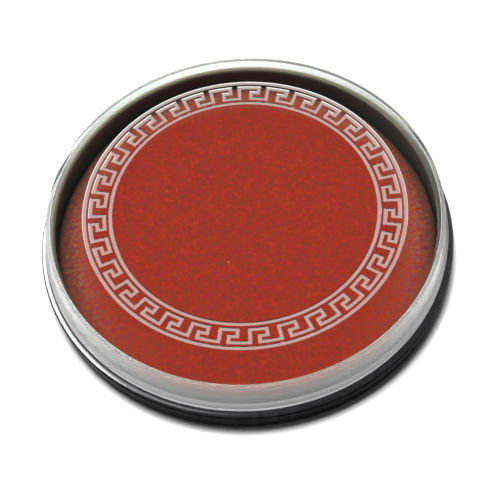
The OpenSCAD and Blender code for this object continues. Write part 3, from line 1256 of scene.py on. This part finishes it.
def make_plastic(name, tint, gloss, clear, ripple, stand_in):
    """A clear moulding. clear is the share of light that goes through, stand_in what lamps keep."""
    material, tree, shader = new_material(
        name, Base_Color=(*tint, 1), IOR=PLASTIC_IOR, Transmission_Weight=clear,
    )
    surface = place_group(
        tree, MOULDED, Gloss=gloss, Unevenness=0.1 * gloss, Ripple_Size=60.0, Ripple_Height=ripple,
    )
    tree.links.new(surface.outputs["Roughness"], shader.inputs["Roughness"])
    tree.links.new(surface.outputs["Normal"], shader.inputs["Normal"])
    ray = add(tree, "ShaderNodeLightPath")
    lamp_rays = maths(tree, "MAXIMUM", ray.outputs["Is Shadow Ray"], ray.outputs["Is Diffuse Ray"])
    through = add(tree, "ShaderNodeBsdfTransparent", {"Color": (stand_in, stand_in, stand_in, 1)})
    mix = add(tree, "ShaderNodeMixShader", {"Fac": lamp_rays})
    tree.links.new(shader.outputs["BSDF"], mix.inputs[1])
    tree.links.new(through.outputs["BSDF"], mix.inputs[2])
    tree.links.new(mix.outputs["Shader"], tree.nodes["Material Output"].inputs["Surface"])
    return material


print("bend of the clear plastic:", PLASTIC_IOR)

# %% [markdown]
# ### Six finishes on one moulding
# One moulding can carry several finishes: clear for the plate, satin for the side, frost for the
# border's floor, haze for the bead, a lip painted nearly white as a painted glow, and a rim whose tint
# warms towards the front as a painted reflection of the pad's red. The lip and the bead are painted
# darker towards the right and the back as painted shade. Each row below gives a name, a tint, the
# blur, the share of light that goes through, the height of the ripples and what lamps keep.

# %% Make the lid's finishes
CLEAR_TINT = (0.96, 0.98, 0.97)
SATIN_TINT = (0.90, 0.94, 0.90)
FROST_TINT = (0.49, 0.405, 0.37)
# Painted light: the lip is nearly white and mostly opaque, a painted glow along its edge.
LIP_PAINTED_GLOW = (1.0, 0.98, 1.0)
# Painted shade: the lip and the bead are darker towards the right and the back.
LIP_PAINTED_SHADE = (0.30, 0.29, 0.24)
RIM_TINT = (0.93, 0.93, 0.88)
# Painted reflection: the rim's tint turns to this red towards the front.
RIM_PAINTED_RED = (1.0, 0.68, 0.58)
HAZE_TINT = (0.50, 0.49, 0.49)
HAZE_PAINTED_SHADE = (0.20, 0.19, 0.16)
FRONT = (0.0, -1.0, 0.0)
RED_REFLECTION_BAND = (29 * MM, 40 * MM)
SHADED_SIDE = (1.0, 0.6, 0.0)
SIDE_SHADE_BAND = (27 * MM, 40 * MM)


def change_tint(material, direction, band, plain, changed):
    """Changes a finish's tint along a direction, between the two distances of a band."""
    tree = material.node_tree
    place = add(tree, "ShaderNodeTexCoord").outputs["Object"]
    share = spread(tree, way_along(tree, place, direction), *band, 0.0, 1.0)
    colour = blend_colours(tree, share, plain, changed)
    tree.links.new(colour, tree.nodes["Principled BSDF"].inputs["Base Color"])


LID_FINISHES = (
    ("clear_plastic", CLEAR_TINT, 0.02, 1.0, 0.0008 * MM, 0.97),
    ("satin_plastic", SATIN_TINT, 0.26, 0.94, 0.0006 * MM, 0.97),
    ("frosted_plastic", FROST_TINT, 0.4, 0.5, 0.004 * MM, 0.9),
    ("lip_plastic", LIP_PAINTED_GLOW, 0.3, 0.08, 0.01 * MM, 0.85),
    ("rim_plastic", RIM_TINT, 0.12, 0.92, 0.0006 * MM, 0.97),
    ("hazed_plastic", HAZE_TINT, 0.35, 0.5, 0.002 * MM, 0.9),
)
for name, tint, gloss, clear, ripple, stand_in in LID_FINISHES:
    LID.data.materials.append(make_plastic(name, tint, gloss, clear, ripple, stand_in))
# Painted reflection of the pad's red on the rim, towards the front.
change_tint(LID.data.materials[RIM], FRONT, RED_REFLECTION_BAND, RIM_TINT, RIM_PAINTED_RED)
# Painted shade: the lip and the bead darken towards the right and the back.
change_tint(LID.data.materials[LIP], SHADED_SIDE, SIDE_SHADE_BAND, LIP_PAINTED_GLOW, LIP_PAINTED_SHADE)
change_tint(LID.data.materials[HAZE], SHADED_SIDE, SIDE_SHADE_BAND, HAZE_TINT, HAZE_PAINTED_SHADE)
print("finishes of the lid:", [material.name for material in LID.data.materials])

# %% [markdown]
# ## The end
# The dressed box must be as large as the working model, so its main sizes were read from the model's boxes.

# %% End of the scene
print("the scene is dressed")
